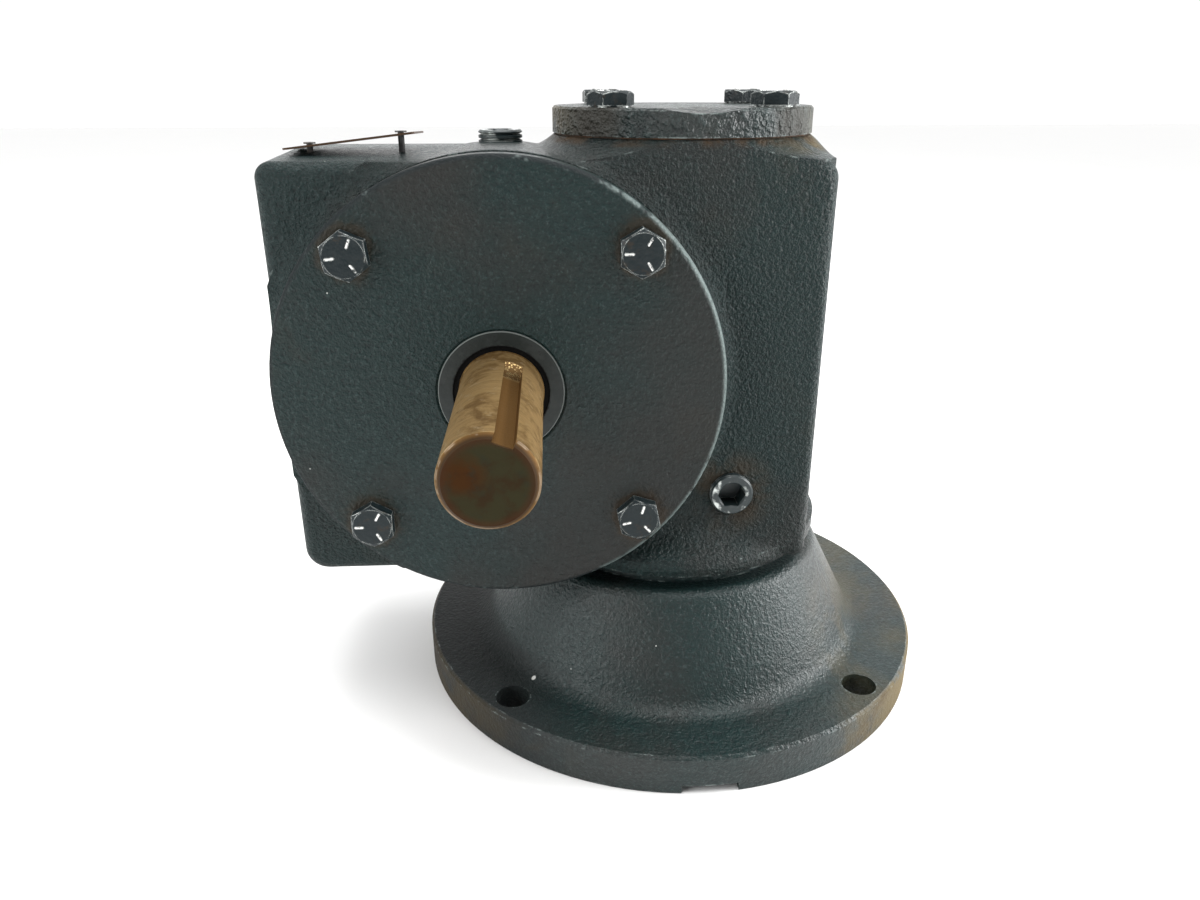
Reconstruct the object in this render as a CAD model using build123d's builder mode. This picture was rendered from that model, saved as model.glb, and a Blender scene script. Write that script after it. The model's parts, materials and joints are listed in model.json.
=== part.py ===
from build123d import *

import os
from math import atan2, cos, hypot, pi, radians, sin, sqrt, tan

# Right-angle worm gearbox with a C-face motor flange and a solid output shaft.
# Millimetres. Z = 0 is the mounting face of the motor flange and +Z is the worm axis.
# The output shaft lies along Y, beside the worm, and points along -Y, the front.

# Gear pair: single-start right-hand worm, bronze wheel
CENTRE_DISTANCE = 52.4
WHEEL_TEETH = 30
MODULE = 2.65
PRESSURE_ANGLE = radians(20)
FLANK_CLEARANCE = 0.15
TIP_CLEARANCE = 0.5
WORM_TURNS = 5
WHEEL_RADIUS = MODULE * WHEEL_TEETH / 2
WHEEL_BLANK_RADIUS = 44.0
WHEEL_HALF_FACE = 9.0
WORM_RADIUS = CENTRE_DISTANCE - WHEEL_RADIUS
WORM_TIP = WORM_RADIUS + MODULE
WORM_ROOT = WORM_RADIUS - 1.2 * MODULE
WORM_LEAD = pi * MODULE

# Axes
OUTPUT_X = -CENTRE_DISTANCE
OUTPUT_Z = 106.3
OUTPUT_AXIS = Axis((OUTPUT_X, 0, OUTPUT_Z), (0, -1, 0))
# Sketch planes of revolved profiles: x is the radius, y is the distance along the axis
OUTPUT_SECTION = Plane(origin=(OUTPUT_X, 0, OUTPUT_Z), x_dir=(1, 0, 0), z_dir=(0, 0, -1))
WORM_SECTION = Plane.XZ
# Plane square to the output axis, its normal pointing out of the front
OUTPUT_FRONT = Plane(origin=(OUTPUT_X, 0, OUTPUT_Z), x_dir=(1, 0, 0), z_dir=(0, -1, 0))

# Housing
BOX_LEFT = -113.0
BOX_RIGHT = 37.0
BOX_HALF_DEPTH = 37.5
BOX_BOTTOM = 48.2
BOX_TOP = 164.3
BOX_CORNERS = (6.5, 3.5, 5.0, 4.0)
BOX_EDGE_RADIUS = 3.0
BOX_DRAFT = 2.2
DRAFT_RISE = BOX_HALF_DEPTH * tan(radians(BOX_DRAFT))
WALL = 7.0
DRUM_RADIUS = 60.9
DRUM_REAR = 2.0
PAD_RADIUS = 36.9
PAD_TOP = 169.2
PAD_FLARE = 12.0
BOTTOM_BOSS_RADIUS = 47.5
BOTTOM_BOSS_SIDE = 52.5
BOTTOM_BOSS_TOP = 66.0
OPENING_RADIUS = 46.0

# Covers and gaskets, placed by the distance in front of the wheel or the height
GASKET = 0.4
OUTPUT_PAD = 40.0
COVER_FACE = 48.0
COVER_RADIUS = 60.6
COVER_RIM = 1.5
COVER_BOLT_CIRCLE = 52.2
TOP_COVER_RADIUS = 37.3
TOP_COVER_TOP = 176.7
TOP_BOLT_CIRCLE = 31.05
TOP_DIP_RADIUS = 61.0
TOP_DIP_DEPTH = 1.2

# Motor flange, 56C face
FLANGE_RADIUS = 82.55
FLANGE_THICKNESS = 12.0
REGISTER_RADIUS = 57.15
REGISTER_DEPTH = 5.0
FLANGE_HOLE_CIRCLE = 74.6
FLANGE_HOLE_RADIUS = 5.16
FLANGE_BOLT_CIRCLE = 34.2
BELL_FOOT = 68.5
BELL_FOOT_RADIUS = 7.7
BELL_SLOPE = 63.0
BELL_SIDE = 27.5
BELL_SHOULDER_RADIUS = 4.5
COLLAR_RADIUS = 41.5
NOTCH_X = 2.6
NOTCH_WIDTH = 16.0
NOTCH_HEIGHT = 2.4

# Shafts
OUTPUT_SHAFT_RADIUS = 11.11
OUTPUT_SHAFT_TIP = 106.6
OUTPUT_SHAFT_CHAMFER = 1.3
OUTPUT_KEY_TURN = 21.5
KEYWAY_WIDTH = 4.76
KEYWAY_DEPTH = 2.4
KEYWAY_END = 61.5
KEYWAY_CUTTER_RADIUS = 10.0
SEAL_JOURNAL_RADIUS = 11.4
SEAL_RADIUS = 16.9
JOURNAL_END = 47.4
RIM_BORE = 33.0
HUB_HALF_LENGTH = 13.0
WHEEL_SEAT_RADIUS = 14.0
WHEEL_KEY = (8.0, 7.0, 22.0)
QUILL_RADIUS = 12.5
QUILL_BORE_RADIUS = 7.94
QUILL_BOTTOM = 6.0
QUILL_BORE_TOP = 60.0

# Bearings: bore radius, outer radius, width, ball radius, number of balls
MEDIUM_BEARING = (12.5, 26.0, 15.0, 3.97, 9)
SMALL_BEARING = (10.0, 23.5, 14.0, 3.97, 8)
FIT = 0.02
RUNNING_FIT = 0.05
OUTPUT_BEARING_CENTRE = 27.0
LOWER_BEARING_CENTRE = 56.7
UPPER_BEARING_CENTRE = 156.2

# Fasteners: quarter-inch hex bolts, and the socket screws inside the bell
HEX_FLATS = 11.1
HEX_HEIGHT = 4.0
BOLT_RADIUS = 3.15
TAPPED_RADIUS = 3.2
BOLT_HOLE_RADIUS = 3.5
BOLT_LENGTH = 17.0
BOSS_HOLE_DEPTH = 11.0
# Degrees that tightening left the heads at, anticlockwise from the upper right bolt
COVER_BOLT_TURNS = (0.0, 7.0, 0.0, 12.0)
TOP_BOLT_TURNS = (20.0, 35.0, 8.0, 50.0)

# Pipe plugs
PLUG_RADIUS = 6.3
PLUG_HOLE_RADIUS = 6.35
PLUG_SOCKET = 7.1
PLUG_LENGTH = 11.0
PLUG_PITCH = 1.41
FILL_PLUG_TOP = 170.3
DRAIN_X = 13.0
DRAIN_Z = 70.6
DRAIN_PROUD = 1.8

# Nameplate, sprung up at the right end and along its front edge
PLATE_LEFT = -108.5
PLATE_LENGTH = 35.0
PLATE_WIDTH = 20.0
PLATE_Y = -14.0
PLATE_HEIGHT = 165.97
PLATE_THICKNESS = 0.5
PLATE_TILT = 6.6
PLATE_ROLL = 2.2
PLATE_PINS = (5.0, 30.0)
PIN_RADIUS = 0.85
PIN_HEAD_RADIUS = 1.6


def turn(section, axis, outline, mode=Mode.ADD):
    """Revolve a closed outline of (radius, distance along the axis) points."""
    with BuildSketch(section) as profile:
        with BuildLine():
            Polyline(*outline, close=True)
        make_face()
    revolve(profiles=profile.sketch, axis=axis, mode=mode)


def tube(section, axis, inner, outer, low, high, mode=Mode.ADD):
    """A round collar, or a round bore with Mode.SUBTRACT."""
    turn(section, axis, [(inner, low), (outer, low), (outer, high), (inner, high)], mode)


def drill(plane, circle, radius, depth, count=4, start=45.0, mode=Mode.SUBTRACT):
    """Round holes on a bolt circle, running from the plane against its normal."""
    with BuildSketch(plane) as holes:
        with PolarLocations(circle, count, start_angle=start):
            Circle(radius)
    extrude(holes.sketch, amount=-depth, mode=mode)


def box_outline(grow=0.0):
    """Outline of the box in the XZ plane, grown outwards."""
    left = BOX_LEFT - grow
    right = BOX_RIGHT + grow
    low = BOX_BOTTOM - grow
    high = BOX_TOP + grow
    corners = [corner + grow for corner in BOX_CORNERS]
    with BuildSketch(Plane.XZ) as outline:
        with BuildLine():
            FilletPolyline((left, low), (right, low), (right, high), (left, high), radius=corners, close=True)
        make_face()
    return outline.sketch


def save(piece, name):
    """Label a finished piece and write its STEP file."""
    piece.part.label = name
    export_step(piece.part, f"parts/{name}.step")


os.makedirs("parts", exist_ok=True)

# ---------------------------------------------------------------- housing

pin_places = [(PLATE_LEFT + along * cos(radians(PLATE_TILT)), PLATE_Y) for along in PLATE_PINS]

# Blend between the front face and the drum, kept inside the outline of the box
with BuildPart() as front_blend:
    with BuildSketch(OUTPUT_SECTION):
        with BuildLine():
            blend = RadiusArc((DRUM_RADIUS, OUTPUT_PAD), (DRUM_RADIUS + 5.5, BOX_HALF_DEPTH), -6.5)
            Polyline(blend @ 1, (DRUM_RADIUS + 5.5, 30), (50, 30), (50, OUTPUT_PAD), blend @ 0)
        make_face()
    revolve(axis=OUTPUT_AXIS)
    extrude(box_outline(), amount=OUTPUT_PAD, both=True, mode=Mode.INTERSECT)

# Blend between the top of the box and the round pad, kept over the box
with BuildPart() as pad_blend:
    with BuildSketch(WORM_SECTION):
        with BuildLine():
            blend = RadiusArc((PAD_RADIUS, PAD_TOP), (PAD_RADIUS + PAD_FLARE, BOX_TOP), -22)
            Polyline(blend @ 1, (PAD_RADIUS + PAD_FLARE, 160), (20, 160), (20, PAD_TOP), blend @ 0)
        make_face()
    revolve(axis=Axis.Z)
    with BuildSketch(Plane.XY.offset(150)):
        with Locations((0, 0)):
            Rectangle(2 * 60, 2 * BOX_HALF_DEPTH)
        with Locations((BOX_RIGHT, 0)):
            Rectangle(60, 2 * BOX_HALF_DEPTH + 1, align=(Align.MIN, Align.CENTER), mode=Mode.SUBTRACT)
    extrude(amount=30, mode=Mode.INTERSECT)

with BuildPart() as housing:
    # The mould parts at mid-depth, so the sides have draft from there to the front and the rear
    extrude(box_outline(DRAFT_RISE), amount=BOX_HALF_DEPTH, both=True, taper=BOX_DRAFT)
    ends = housing.faces().sort_by(Axis.Y)
    fillet(ends[0].edges() + ends[-1].edges(), BOX_EDGE_RADIUS)
    add(front_blend.part)
    add(pad_blend.part)
    turn(OUTPUT_SECTION, OUTPUT_AXIS, [
        (0, -DRUM_REAR - 12), (DRUM_RADIUS - 4, -DRUM_REAR - 12), (DRUM_RADIUS, -DRUM_REAR),
        (DRUM_RADIUS, OUTPUT_PAD), (0, OUTPUT_PAD),
    ])
    tube(WORM_SECTION, Axis.Z, 0, PAD_RADIUS, 160, PAD_TOP)
    tube(WORM_SECTION, Axis.Z, 0, 52, 40, BOX_BOTTOM, Mode.SUBTRACT)
    # Round boss round the lower worm bearing, blended up into the faces of the box
    with BuildSketch(WORM_SECTION):
        with BuildLine():
            blend = RadiusArc(
                (BOX_HALF_DEPTH - 1, BOTTOM_BOSS_TOP), (BOTTOM_BOSS_RADIUS, BOTTOM_BOSS_SIDE), -18,
            )
            Polyline(
                blend @ 1, (BOTTOM_BOSS_RADIUS, BOX_BOTTOM), (0, BOX_BOTTOM), (0, BOTTOM_BOSS_TOP), blend @ 0,
            )
        make_face()
    revolve(axis=Axis.Z)
    # Gear chamber
    with BuildSketch(Plane.XY.offset(BOX_BOTTOM + WALL)):
        with Locations(((BOX_LEFT + BOX_RIGHT) / 2, 0)):
            RectangleRounded(BOX_RIGHT - BOX_LEFT - 2 * WALL, 2 * (BOX_HALF_DEPTH - WALL), 4)
    extrude(amount=BOX_TOP - BOX_BOTTOM - 2 * WALL, mode=Mode.SUBTRACT)
    # Bearing bosses and bolt bosses inside the chamber
    tube(WORM_SECTION, Axis.Z, 0, 31.5, BOX_BOTTOM, 65)
    tube(WORM_SECTION, Axis.Z, 0, 29, 148, 160)
    tube(OUTPUT_SECTION, OUTPUT_AXIS, 0, 32, 1 - BOX_HALF_DEPTH, -18)
    drill(OUTPUT_FRONT.offset(35), COVER_BOLT_CIRCLE, 7, 9, mode=Mode.ADD)
    drill(Plane.XY.offset(63), FLANGE_BOLT_CIRCLE, 6.5, 10, mode=Mode.ADD)
    # Bores for the bearings, with a shoulder behind each, and the cover opening
    tube(WORM_SECTION, Axis.Z, 0, MEDIUM_BEARING[1] + FIT, 0, 64.2, Mode.SUBTRACT)
    tube(WORM_SECTION, Axis.Z, 0, 22, 60, 70, Mode.SUBTRACT)
    tube(WORM_SECTION, Axis.Z, 0, SMALL_BEARING[1] + FIT, 149.2, PAD_TOP, Mode.SUBTRACT)
    tube(WORM_SECTION, Axis.Z, 0, 19, 140, 150, Mode.SUBTRACT)
    tube(OUTPUT_SECTION, OUTPUT_AXIS, 0, MEDIUM_BEARING[1] + FIT, -50, -19.4, Mode.SUBTRACT)
    tube(OUTPUT_SECTION, OUTPUT_AXIS, 0, 22.5, -20, -10, Mode.SUBTRACT)
    tube(OUTPUT_SECTION, OUTPUT_AXIS, 0, OPENING_RADIUS, 28, 50, Mode.SUBTRACT)
    # Tapped holes
    drill(OUTPUT_FRONT.offset(OUTPUT_PAD), COVER_BOLT_CIRCLE, TAPPED_RADIUS, BOSS_HOLE_DEPTH)
    drill(Plane.XY.offset(PAD_TOP), TOP_BOLT_CIRCLE, TAPPED_RADIUS, BOSS_HOLE_DEPTH)
    drill(Plane.XY.offset(BOX_BOTTOM + 12), FLANGE_BOLT_CIRCLE, TAPPED_RADIUS, 13)
    with BuildSketch(Plane.XY.offset(BOX_TOP - 10)):
        with Locations((OUTPUT_X, 0)):
            Circle(PLUG_HOLE_RADIUS)
    extrude(amount=20, mode=Mode.SUBTRACT)
    with BuildSketch(Plane.XZ.offset(BOX_HALF_DEPTH - 12)):
        with Locations((DRAIN_X, DRAIN_Z)):
            Circle(PLUG_HOLE_RADIUS)
    extrude(amount=20, mode=Mode.SUBTRACT)
    with BuildSketch(Plane.XY.offset(BOX_TOP - 3)):
        with Locations(*pin_places):
            Circle(PIN_RADIUS + RUNNING_FIT)
    extrude(amount=8, mode=Mode.SUBTRACT)
save(housing, "housing")

# ---------------------------------------------------------------- covers and gaskets

with BuildPart() as output_cover:
    bore = MEDIUM_BEARING[1] + FIT
    turn(OUTPUT_SECTION, OUTPUT_AXIS, [
        (bore, 19), (31.5, 19), (31.5, 34.6), (OPENING_RADIUS - RUNNING_FIT, 34.6),
        (OPENING_RADIUS - RUNNING_FIT, OUTPUT_PAD + GASKET), (COVER_RADIUS, OUTPUT_PAD + GASKET),
        (COVER_RADIUS, COVER_FACE), (SEAL_RADIUS + 0.6, COVER_FACE), (SEAL_RADIUS + FIT, COVER_FACE - 0.6),
        (SEAL_RADIUS + FIT, 40.5), (15.5, 40.5), (15.5, 36), (21, 36), (21, 34.6), (bore, 34.6),
    ])
    rim = output_cover.edges().filter_by(GeomType.CIRCLE).group_by(Axis.Y)[0].sort_by(SortBy.RADIUS)[-1]
    fillet(rim, COVER_RIM)
    drill(OUTPUT_FRONT.offset(COVER_FACE), COVER_BOLT_CIRCLE, BOLT_HOLE_RADIUS, 20)
save(output_cover, "output_cover")

with BuildPart() as top_cover:
    turn(WORM_SECTION, Axis.Z, [
        (0, 172), (19, 172), (19, UPPER_BEARING_CENTRE + 7), (SMALL_BEARING[1] - FIT, UPPER_BEARING_CENTRE + 7),
        (SMALL_BEARING[1] - FIT, PAD_TOP + GASKET), (TOP_COVER_RADIUS, PAD_TOP + GASKET),
        (TOP_COVER_RADIUS, TOP_COVER_TOP - 0.6), (TOP_COVER_RADIUS - 0.6, TOP_COVER_TOP), (0, TOP_COVER_TOP),
    ])
    drill(Plane.XY.offset(TOP_COVER_TOP), TOP_BOLT_CIRCLE, BOLT_HOLE_RADIUS, 10)
    # The cast top sags a little at the front edge
    sag = Plane(origin=(1, -TOP_COVER_RADIUS, TOP_COVER_TOP - TOP_DIP_DEPTH), x_dir=(1, 0, 0), z_dir=(0, -1, -0.12))
    with BuildSketch(sag):
        with Locations((0, TOP_DIP_RADIUS)):
            Circle(TOP_DIP_RADIUS)
    extrude(amount=20, both=True, mode=Mode.SUBTRACT)
save(top_cover, "top_cover")

with BuildPart() as output_cover_gasket:
    tube(OUTPUT_SECTION, OUTPUT_AXIS, OPENING_RADIUS, COVER_RADIUS - 0.5, OUTPUT_PAD, OUTPUT_PAD + GASKET)
    drill(OUTPUT_FRONT.offset(COVER_FACE), COVER_BOLT_CIRCLE, BOLT_HOLE_RADIUS, 20)
save(output_cover_gasket, "output_cover_gasket")

with BuildPart() as top_cover_gasket:
    tube(WORM_SECTION, Axis.Z, SMALL_BEARING[1] + FIT, PAD_RADIUS - 0.4, PAD_TOP, PAD_TOP + GASKET)
    drill(Plane.XY.offset(TOP_COVER_TOP), TOP_BOLT_CIRCLE, BOLT_HOLE_RADIUS, 10)
save(top_cover_gasket, "top_cover_gasket")

with BuildPart() as flange_gasket:
    tube(WORM_SECTION, Axis.Z, MEDIUM_BEARING[1] + FIT, COLLAR_RADIUS, BOX_BOTTOM - GASKET, BOX_BOTTOM)
    drill(Plane.XY.offset(BOX_BOTTOM + 1), FLANGE_BOLT_CIRCLE, BOLT_HOLE_RADIUS, 5)
save(flange_gasket, "flange_gasket")

# ---------------------------------------------------------------- motor flange

with BuildPart() as motor_flange:
    with BuildSketch(WORM_SECTION):
        with BuildLine():
            face = Polyline(
                (REGISTER_RADIUS, 0), (FLANGE_RADIUS, 0), (FLANGE_RADIUS, FLANGE_THICKNESS - 0.9),
                (FLANGE_RADIUS - 0.9, FLANGE_THICKNESS), (BELL_FOOT, FLANGE_THICKNESS),
            )
            foot = JernArc(start=face @ 1, tangent=(-1, 0), radius=BELL_FOOT_RADIUS, arc_size=-BELL_SLOPE)
            cone = PolarLine(start=foot @ 1, length=BELL_SIDE, direction=foot % 1)
            shoulder = JernArc(
                start=cone @ 1, tangent=cone % 1, radius=BELL_SHOULDER_RADIUS, arc_size=BELL_SLOPE - 6,
            )
            joint = BOX_BOTTOM - GASKET
            spigot = MEDIUM_BEARING[1] - FIT
            Polyline(
                shoulder @ 1, (COLLAR_RADIUS, (shoulder @ 1).Y), (COLLAR_RADIUS, joint), (spigot, joint),
                (spigot, 49.2), (21.5, 49.2), (21.5, 47.6), (17, 47.6), (17, 46.2), (20.02, 46.2), (20.02, 38),
                (40.5, 38), (46, 24), (52, 12), (53, REGISTER_DEPTH), (REGISTER_RADIUS, REGISTER_DEPTH), face @ 0,
            )
        make_face()
    revolve(axis=Axis.Z)
    drill(Plane.XY.offset(FLANGE_THICKNESS + 1), FLANGE_HOLE_CIRCLE, FLANGE_HOLE_RADIUS, 20)
    drill(Plane.XY.offset(BOX_BOTTOM), FLANGE_BOLT_CIRCLE, BOLT_HOLE_RADIUS, 12)
    with BuildSketch(Plane.XY):
        with Locations((NOTCH_X, -FLANGE_RADIUS)):
            Rectangle(NOTCH_WIDTH, 2 * (FLANGE_RADIUS - REGISTER_RADIUS) + 2)
    extrude(amount=NOTCH_HEIGHT, mode=Mode.SUBTRACT)
save(motor_flange, "motor_flange")

# ---------------------------------------------------------------- fasteners

# One hex bolt, head up, its seat at the origin, with three radial grade marks
with BuildPart() as hex_bolt:
    with BuildSketch(Plane.XY.offset(0.4)):
        RegularPolygon(HEX_FLATS / 2, 6, major_radius=False)
    extrude(amount=HEX_HEIGHT - 0.4)
    corner = HEX_FLATS / sqrt(3)
    turn(Plane.XZ, Axis.Z, [
        (0, 0), (corner + 1, 0), (corner + 1, HEX_HEIGHT - 1.0 - 0.577), (HEX_FLATS / 2 - 0.3, HEX_HEIGHT),
        (0, HEX_HEIGHT),
    ], Mode.INTERSECT)
    tube(Plane.XZ, Axis.Z, 0, HEX_FLATS / 2 - 0.2, 0, 0.4)
    tube(Plane.XZ, Axis.Z, 0, BOLT_RADIUS, -BOLT_LENGTH, 0)
    with BuildSketch(Plane.XY.offset(HEX_HEIGHT - 0.1)):
        with PolarLocations(3.5, 3, start_angle=90):
            SlotOverall(2.4, 0.5)
    extrude(amount=0.3)

with BuildPart() as output_cover_bolts:
    for index, head_turn in enumerate(COVER_BOLT_TURNS):
        angle = radians(45 + 90 * index)
        seat = OUTPUT_FRONT * Pos(COVER_BOLT_CIRCLE * cos(angle), COVER_BOLT_CIRCLE * sin(angle), COVER_FACE)
        add((seat * Rot(0, 0, head_turn + 90)) * hex_bolt.part)
save(output_cover_bolts, "output_cover_bolts")

with BuildPart() as top_cover_bolts:
    for index, head_turn in enumerate(TOP_BOLT_TURNS):
        angle = radians(45 + 90 * index)
        seat = Pos(TOP_BOLT_CIRCLE * cos(angle), TOP_BOLT_CIRCLE * sin(angle), TOP_COVER_TOP)
        add((seat * Rot(0, 0, head_turn)) * hex_bolt.part)
save(top_cover_bolts, "top_cover_bolts")

# Socket screws inside the bell, head down
with BuildPart() as socket_screw:
    tube(Plane.XZ, Axis.Z, 0, 4.6, -6, 0)
    tube(Plane.XZ, Axis.Z, 0, BOLT_RADIUS, 0, 20)
    with BuildSketch(Plane.XY.offset(-6)):
        RegularPolygon(2.5, 6, major_radius=False)
    extrude(amount=3.5, mode=Mode.SUBTRACT)
with BuildPart() as flange_bolts:
    for index in range(4):
        angle = radians(45 + 90 * index)
        add(Pos(FLANGE_BOLT_CIRCLE * cos(angle), FLANGE_BOLT_CIRCLE * sin(angle), 38) * socket_screw.part)
save(flange_bolts, "flange_bolts")

# Pipe plug with its outer face at the origin, threaded below, with a hex socket
with BuildPart() as pipe_plug:
    tube(Plane.XZ, Axis.Z, 0, PLUG_RADIUS, -PLUG_LENGTH, 0)
    for turn_index in range(7):
        groove = -1.0 - turn_index * PLUG_PITCH
        turn(Plane.XZ, Axis.Z, [
            (PLUG_RADIUS + 1, groove + 0.6), (PLUG_RADIUS - 0.75, groove - 0.1), (PLUG_RADIUS - 0.75, groove - 0.2),
            (PLUG_RADIUS + 1, groove - 0.9),
        ], Mode.SUBTRACT)
    turn(Plane.XZ, Axis.Z, [(PLUG_RADIUS - 0.5, 0), (PLUG_RADIUS + 1, 0), (PLUG_RADIUS + 1, -1.5)], Mode.SUBTRACT)
    with BuildSketch():
        RegularPolygon(PLUG_SOCKET / 2, 6, major_radius=False)
    extrude(amount=-6, mode=Mode.SUBTRACT)
    turn(Plane.XZ, Axis.Z, [(0, 0), (PLUG_SOCKET / 2 + 0.5, 0), (0, -PLUG_SOCKET / 2 - 0.5)], Mode.SUBTRACT)
with BuildPart() as fill_plug:
    add(Pos(OUTPUT_X, 0, FILL_PLUG_TOP) * pipe_plug.part)
save(fill_plug, "fill_plug")
with BuildPart() as drain_plug:
    add(Pos(DRAIN_X, -BOX_HALF_DEPTH - DRAIN_PROUD, DRAIN_Z) * Rot(90, 0, 0) * pipe_plug.part)
save(drain_plug, "drain_plug")

# ---------------------------------------------------------------- nameplate

# The plate stands on its two pins, tilted up to the right and a little to the front
plate_plane = Plane(
    origin=(PLATE_LEFT, PLATE_Y, PLATE_HEIGHT),
    x_dir=(cos(radians(PLATE_TILT)), 0, sin(radians(PLATE_TILT))),
    z_dir=(-sin(radians(PLATE_TILT)), 0, cos(radians(PLATE_TILT))),
).rotated((-PLATE_ROLL, 0, 0))
with BuildPart() as nameplate:
    with BuildSketch(plate_plane):
        with Locations((PLATE_LENGTH / 2, 0)):
            RectangleRounded(PLATE_LENGTH, PLATE_WIDTH, 1.2)
        with Locations(*[(along, 0) for along in PLATE_PINS]):
            Circle(PIN_RADIUS + 0.3, mode=Mode.SUBTRACT)
    extrude(amount=PLATE_THICKNESS)
save(nameplate, "nameplate")

with BuildPart() as nameplate_pins:
    for along, (x, y) in zip(PLATE_PINS, pin_places):
        head = PLATE_HEIGHT + along * sin(radians(PLATE_TILT)) + PLATE_THICKNESS + 0.35
        with Locations((x, y, BOX_TOP - 2.5)):
            Cylinder(PIN_RADIUS, head - BOX_TOP + 2.5, align=(Align.CENTER, Align.CENTER, Align.MIN))
        with Locations((x, y, head)):
            Cylinder(PIN_HEAD_RADIUS, 0.4, align=(Align.CENTER, Align.CENTER, Align.MIN))
save(nameplate_pins, "nameplate_pins")

# ---------------------------------------------------------------- worm wheel

def space_limits(radius, offset):
    """Wheel angles that the worm thread sweeps at a radius, in the plane Y = offset."""
    lows = []
    highs = []
    for step in range(-160, 161):
        angle = radians(step / 4)
        reach = CENTRE_DISTANCE - radius * cos(angle)
        depth = hypot(reach, offset)
        if depth > WORM_TIP + TIP_CLEARANCE + 0.001:
            continue
        half = WORM_LEAD / 4 - (min(depth, WORM_TIP) - WORM_RADIUS) * tan(PRESSURE_ANGLE) + FLANK_CLEARANCE
        centre = radius * sin(angle) + WORM_LEAD / (2 * pi) * atan2(offset, reach)
        lows.append(angle - (centre + half) / WHEEL_RADIUS)
        highs.append(angle - (centre - half) / WHEEL_RADIUS)
    return min(lows), max(highs)


def space_outline(offset):
    """Corners of one tooth space in the plane Y = offset, from the root outwards."""
    root = CENTRE_DISTANCE - sqrt((WORM_TIP + TIP_CLEARANCE) ** 2 - offset ** 2)
    levels = [root + (WHEEL_BLANK_RADIUS + 1 - root) * part / 4 for part in range(5)]
    limits = [space_limits(level, offset) for level in levels]
    left = [(level, low) for level, (low, high) in zip(levels, limits)]
    right = [(level, high) for level, (low, high) in zip(levels, limits)]
    return [
        (OUTPUT_X + level * cos(angle), OUTPUT_Z + level * sin(angle)) for level, angle in left + right[::-1]
    ]


with BuildPart() as tooth_space:
    for offset in (-9.6, -7.2, -4.8, -2.4, 0, 2.4, 4.8, 7.2, 9.6):
        with BuildSketch(Plane.XZ.offset(-offset)):
            with BuildLine():
                Polyline(*space_outline(offset), close=True)
            make_face()
    loft()
spaces = [
    tooth_space.part.rotate(OUTPUT_AXIS, 360 / WHEEL_TEETH * index) for index in range(WHEEL_TEETH)
]

THROAT_RADIUS = WORM_RADIUS - MODULE
THROAT_HALF_WIDTH = sqrt(THROAT_RADIUS ** 2 - (CENTRE_DISTANCE - WHEEL_BLANK_RADIUS) ** 2)
with BuildPart() as worm_wheel_rim:
    with BuildSketch(OUTPUT_SECTION):
        with BuildLine():
            throat = ThreePointArc(
                (WHEEL_BLANK_RADIUS, -THROAT_HALF_WIDTH), (CENTRE_DISTANCE - THROAT_RADIUS, 0),
                (WHEEL_BLANK_RADIUS, THROAT_HALF_WIDTH),
            )
            Polyline(
                throat @ 1, (WHEEL_BLANK_RADIUS, WHEEL_HALF_FACE), (RIM_BORE, WHEEL_HALF_FACE),
                (RIM_BORE, -WHEEL_HALF_FACE), (WHEEL_BLANK_RADIUS, -WHEEL_HALF_FACE), throat @ 0,
            )
        make_face()
    revolve(axis=OUTPUT_AXIS)
    add(spaces, mode=Mode.SUBTRACT)
save(worm_wheel_rim, "worm_wheel_rim")

key_width, key_height, key_length = WHEEL_KEY
key_floor = WHEEL_SEAT_RADIUS - key_height / 2 - 0.5
with BuildPart() as worm_wheel_hub:
    turn(OUTPUT_SECTION, OUTPUT_AXIS, [
        (WHEEL_SEAT_RADIUS + FIT, -HUB_HALF_LENGTH), (21, -HUB_HALF_LENGTH), (22, -5), (27, -5),
        (28, -WHEEL_HALF_FACE), (RIM_BORE - FIT, -WHEEL_HALF_FACE), (RIM_BORE - FIT, WHEEL_HALF_FACE),
        (28, WHEEL_HALF_FACE), (27, 5), (22, 5), (21, HUB_HALF_LENGTH), (WHEEL_SEAT_RADIUS + FIT, HUB_HALF_LENGTH),
    ])
    with BuildSketch(OUTPUT_FRONT.offset(-HUB_HALF_LENGTH)):
        with Locations((0, WHEEL_SEAT_RADIUS)):
            Rectangle(key_width + 2 * FIT, key_height)
    extrude(amount=2 * HUB_HALF_LENGTH, mode=Mode.SUBTRACT)
save(worm_wheel_hub, "worm_wheel_hub")

with BuildPart() as wheel_key:
    with BuildSketch(OUTPUT_FRONT.offset(-key_length / 2)):
        with Locations((0, key_floor + 0.1)):
            Rectangle(key_width, key_height - 0.3, align=(Align.CENTER, Align.MIN))
    extrude(amount=key_length)
save(wheel_key, "wheel_key")

# ---------------------------------------------------------------- output shaft

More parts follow.
